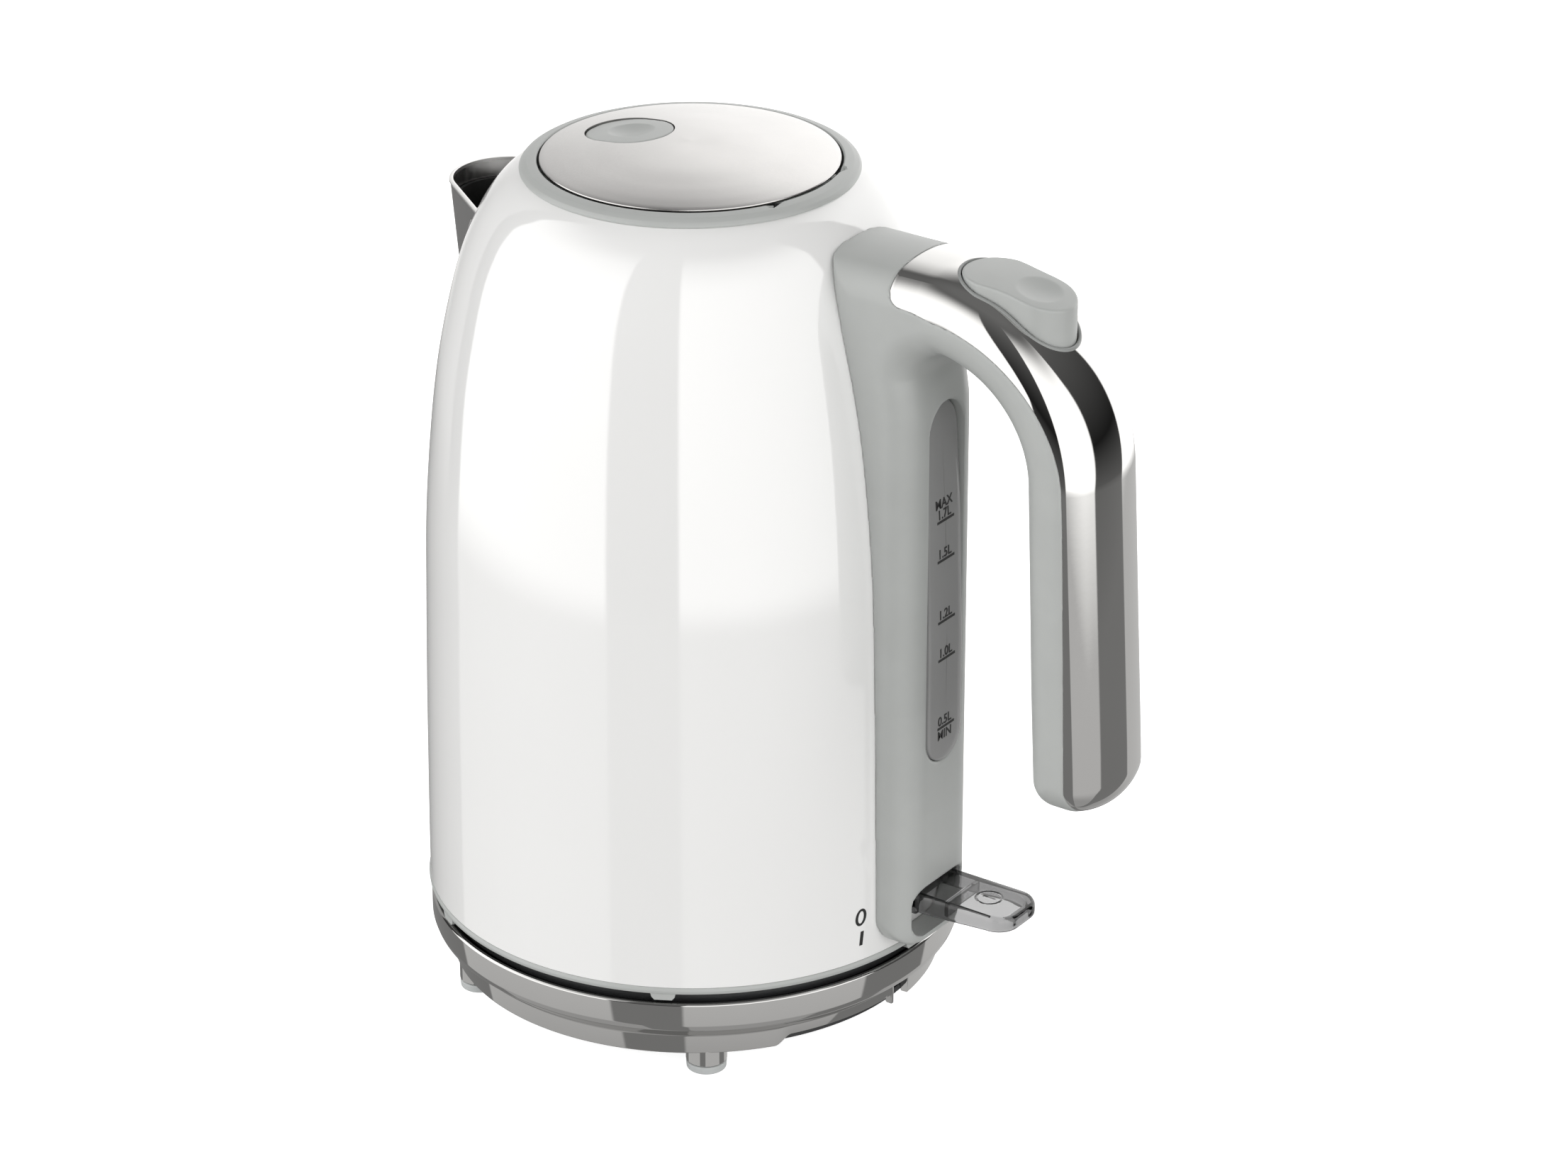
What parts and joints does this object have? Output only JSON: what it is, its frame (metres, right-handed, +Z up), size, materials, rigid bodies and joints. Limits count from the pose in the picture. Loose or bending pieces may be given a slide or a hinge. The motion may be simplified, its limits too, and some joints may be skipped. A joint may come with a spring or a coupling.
{
  "type": "electric kettle",
  "caption": "Cordless electric kettle with domed enamelled body, V spout, hinged steel lid, water gauge, arched handle with lid button, smoked switch lever and round power base.",
  "frame": {"origin": "on the kettle's axis, at the level of the table the base stands on", "axes": "+Z up along the kettle's axis, +X toward the handle, -X toward the spout, +Y completes the right-handed frame"},
  "size_m": [0.2293, 0.1566, 0.2564],
  "materials": {
    "white_enamel": "gloss enamel",
    "grey_plastic": "satin",
    "base_chrome": "polished",
    "handle_chrome": "polished",
    "lid_steel": "satin",
    "plate_steel": "satin",
    "screw_steel": "plain",
    "spreader_aluminium": "plain",
    "contact_brass": "plain",
    "dark_plastic": "matte",
    "cream_plastic": "matte",
    "pale_rubber": "matte",
    "clear_window": "clear, faintly smoked",
    "smoked_plastic": "smoked clear"
  },
  "bodies": {
    "power_base": {"base_cover": "base_chrome", "base_bottom_plate": "dark_plastic", "base_feet": "base_chrome", "foot_pads": "pale_rubber", "base_screws": "screw_steel", "socket_housing": "dark_plastic", "socket_contacts": "contact_brass"},
    "coupler": {"coupler_body": "dark_plastic", "coupler_contacts": "contact_brass"},
    "kettle": {"body_shell": "white_enamel", "bottom_ring": "grey_plastic", "bottom_chassis": "dark_plastic", "chassis_screws": "screw_steel", "heater_plate": "plate_steel", "plate_seal": "pale_rubber", "heat_spreader": "spreader_aluminium", "heating_element": "plate_steel", "control_unit": "cream_plastic", "steam_tube": "cream_plastic", "spout": "plate_steel", "filter_rails": "grey_plastic", "lid_collar": "grey_plastic", "handle_frame": "grey_plastic", "handle_cover": "handle_chrome", "gauge_window": "clear_window", "gauge_back": "grey_plastic", "button_bezel": "dark_plastic", "button_spring": "screw_steel", "lid_hinge_pin": "screw_steel"},
    "lid": {"lid_cover": "lid_steel", "lid_thumb_pad": "grey_plastic", "lid_body": "grey_plastic", "lid_seal": "pale_rubber"},
    "release_button": {"lid_button": "grey_plastic"},
    "lid_latch": {"latch_slider": "cream_plastic"},
    "lever": {"switch_lever": "smoked_plastic"},
    "filter": {"spout_filter": "grey_plastic"}
  },
  "joints": [
    {"name": "kettle_lift", "type": "slide", "parent": "power_base", "child": "coupler", "axis": [0, 0, 1], "range_m": [0, 0.06]},
    {"name": "kettle_swivel", "type": "hinge", "parent": "coupler", "child": "kettle", "pos_m": [0, 0, 0.03], "axis": [0, 0, 1], "continuous": true},
    {"name": "lid_hinge", "type": "hinge", "parent": "kettle", "child": "lid", "pos_m": [0.039, 0, 0.2498], "axis": [0, 1, 0], "range_deg": [0, 75]},
    {"name": "button_press", "type": "slide", "parent": "kettle", "child": "release_button", "axis": [0, 0, -1], "range_m": [0, 0.0025], "stiffness_N_per_m": 900, "springref_m": -0.001, "deforming": ["button_spring"]},
    {"name": "latch_pull", "type": "slide", "parent": "kettle", "child": "lid_latch", "axis": [1, 0, 0], "range_m": [0, 0.002]},
    {"name": "switch_rock", "type": "hinge", "parent": "kettle", "child": "lever", "pos_m": [0.0816, 0, 0.0472], "axis": [0, 1, 0], "range_deg": [0, 10]},
    {"name": "filter_release", "type": "slide", "parent": "kettle", "child": "filter", "axis": [1, 0, 0], "range_m": [0, 0.012]}
  ],
  "couplings": [
    {"joint": "latch_pull", "follows": "button_press", "ratio": 0.8}
  ]
}
